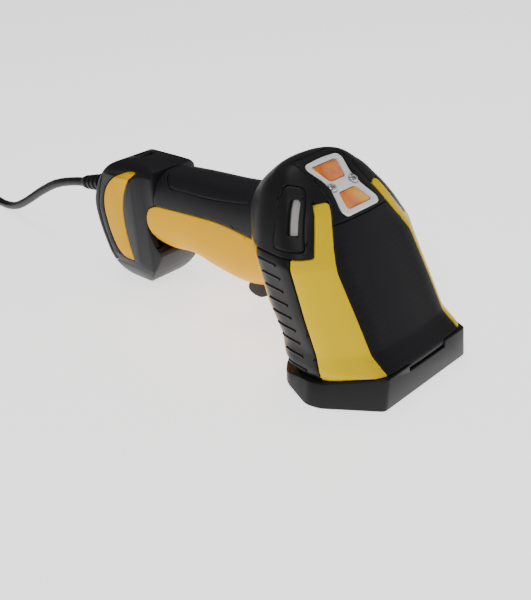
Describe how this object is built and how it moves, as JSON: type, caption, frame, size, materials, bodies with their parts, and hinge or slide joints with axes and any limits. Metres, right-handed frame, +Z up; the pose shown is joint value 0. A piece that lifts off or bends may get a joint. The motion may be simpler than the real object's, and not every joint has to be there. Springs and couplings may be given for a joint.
{
  "type": "handheld barcode scanner",
  "caption": "Pistol-grip handheld barcode scanner with a rubber nose, black and yellow case, sprung trigger and coiled data cord, resting nose-down.",
  "frame": {"origin": "4 mm behind the middle of the nose bumper's front edge, on the face that the nose rests on", "axes": "+X across the width, +Y from the nose towards the foot of the handle, +Z up out of the resting face"},
  "size_m": [0.1105, 0.451, 0.0876],
  "materials": {
    "aiming_lens": "clear optical moulding",
    "base_end_cap": "fine-textured black moulding",
    "base_housing": "fine-textured black moulding",
    "base_insert_left": "satin warm yellow moulding",
    "base_insert_right": "satin warm yellow moulding",
    "base_screw_1": "bright steel",
    "base_screw_2": "bright steel",
    "beeper": "black moulding",
    "cable_connector": "pale moulding",
    "cord_coil": "flexible black jacket",
    "cord_run": "flexible black jacket",
    "handle_back_pad": "satin moulded rubber",
    "handle_back_shell": "fine-textured black moulding",
    "handle_front_grip": "satin warm yellow moulding",
    "head_frame": "fine-textured black moulding",
    "head_rear_cap": "fine-textured black moulding",
    "head_screw_1": "bright steel",
    "head_screw_2": "bright steel",
    "head_screw_3": "bright steel",
    "head_screw_4": "bright steel",
    "illumination_lens_left": "clear optical moulding",
    "illumination_lens_right": "clear optical moulding",
    "imager_lens": "clear optical moulding",
    "indicator_bezel": "fine-textured black moulding",
    "indicator_board": "green circuit board",
    "indicator_lens_front": "amber translucent moulding",
    "indicator_lens_rear": "amber translucent moulding",
    "indicator_plate": "glossy white moulding",
    "indicator_screw_left": "bright steel",
    "indicator_screw_right": "bright steel",
    "lanyard_bar": "fine-textured black moulding",
    "main_board": "green circuit board",
    "nose_bumper": "satin moulded rubber",
    "processor_shield": "bright steel",
    "scan_engine_housing": "cast housing",
    "scan_window": "dark red window",
    "side_insert_left": "satin lemon yellow moulding",
    "side_insert_right": "satin lemon yellow moulding",
    "side_panel_left": "fine-textured black moulding",
    "side_panel_right": "fine-textured black moulding",
    "side_rib_pad_left": "satin moulded rubber",
    "side_rib_pad_right": "satin moulded rubber",
    "side_window_left": "light grey moulding",
    "side_window_right": "light grey moulding",
    "strain_relief": "flexible black jacket",
    "top_cover": "fine-textured black moulding",
    "trigger": "satin black moulding",
    "trigger_pin": "bright steel",
    "trigger_side_cover": "satin warm yellow moulding",
    "trigger_spring": "bright steel",
    "trigger_switch_board": "green circuit board",
    "trigger_switch_body": "black moulding",
    "trigger_switch_plunger": "red moulding",
    "usb_plug_body": "flexible black jacket",
    "usb_plug_shell": "bright steel",
    "vibration_motor": "bright steel",
    "window_gasket": "soft black seal"
  },
  "bodies": {
    "case": {"aiming_lens": "aiming_lens", "base_end_cap": "base_end_cap", "base_housing": "base_housing", "base_insert_left": "base_insert_left", "base_insert_right": "base_insert_right", "base_screw_1": "base_screw_1", "base_screw_2": "base_screw_2", "beeper": "beeper", "cable_connector": "cable_connector", "cord_coil": "cord_coil", "cord_run": "cord_run", "handle_back_pad": "handle_back_pad", "handle_back_shell": "handle_back_shell", "handle_front_grip": "handle_front_grip", "head_frame": "head_frame", "head_rear_cap": "head_rear_cap", "head_screw_1": "head_screw_1", "head_screw_2": "head_screw_2", "head_screw_3": "head_screw_3", "head_screw_4": "head_screw_4", "illumination_lens_left": "illumination_lens_left", "illumination_lens_right": "illumination_lens_right", "imager_lens": "imager_lens", "indicator_bezel": "indicator_bezel", "indicator_board": "indicator_board", "indicator_lens_front": "indicator_lens_front", "indicator_lens_rear": "indicator_lens_rear", "indicator_plate": "indicator_plate", "indicator_screw_left": "indicator_screw_left", "indicator_screw_right": "indicator_screw_right", "lanyard_bar": "lanyard_bar", "main_board": "main_board", "nose_bumper": "nose_bumper", "processor_shield": "processor_shield", "scan_engine_housing": "scan_engine_housing", "scan_window": "scan_window", "side_insert_left": "side_insert_left", "side_insert_right": "side_insert_right", "side_panel_left": "side_panel_left", "side_panel_right": "side_panel_right", "side_rib_pad_left": "side_rib_pad_left", "side_rib_pad_right": "side_rib_pad_right", "side_window_left": "side_window_left", "side_window_right": "side_window_right", "strain_relief": "strain_relief", "top_cover": "top_cover", "trigger_pin": "trigger_pin", "trigger_side_cover": "trigger_side_cover", "trigger_spring": "trigger_spring", "trigger_switch_board": "trigger_switch_board", "trigger_switch_body": "trigger_switch_body", "usb_plug_body": "usb_plug_body", "usb_plug_shell": "usb_plug_shell", "vibration_motor": "vibration_motor", "window_gasket": "window_gasket"},
    "trigger_blade": {"trigger": "trigger"},
    "switch_plunger": {"trigger_switch_plunger": "trigger_switch_plunger"}
  },
  "joints": [
    {"name": "trigger_pull", "type": "hinge", "parent": "case", "child": "trigger_blade", "pos_m": [0, 0.075, 0.045], "axis": [1, 0, 0], "range_deg": [0, 8], "stiffness_Nm_per_rad": 0.35, "springref_deg": -17.19, "deforming": ["trigger_spring"]},
    {"name": "switch_press", "type": "slide", "parent": "case", "child": "switch_plunger", "axis": [0, 0, 1], "range_m": [0, 0.00225]}
  ],
  "couplings": [
    {"joint": "switch_press", "follows": "trigger_pull", "m_per_rad": 0.016}
  ]
}
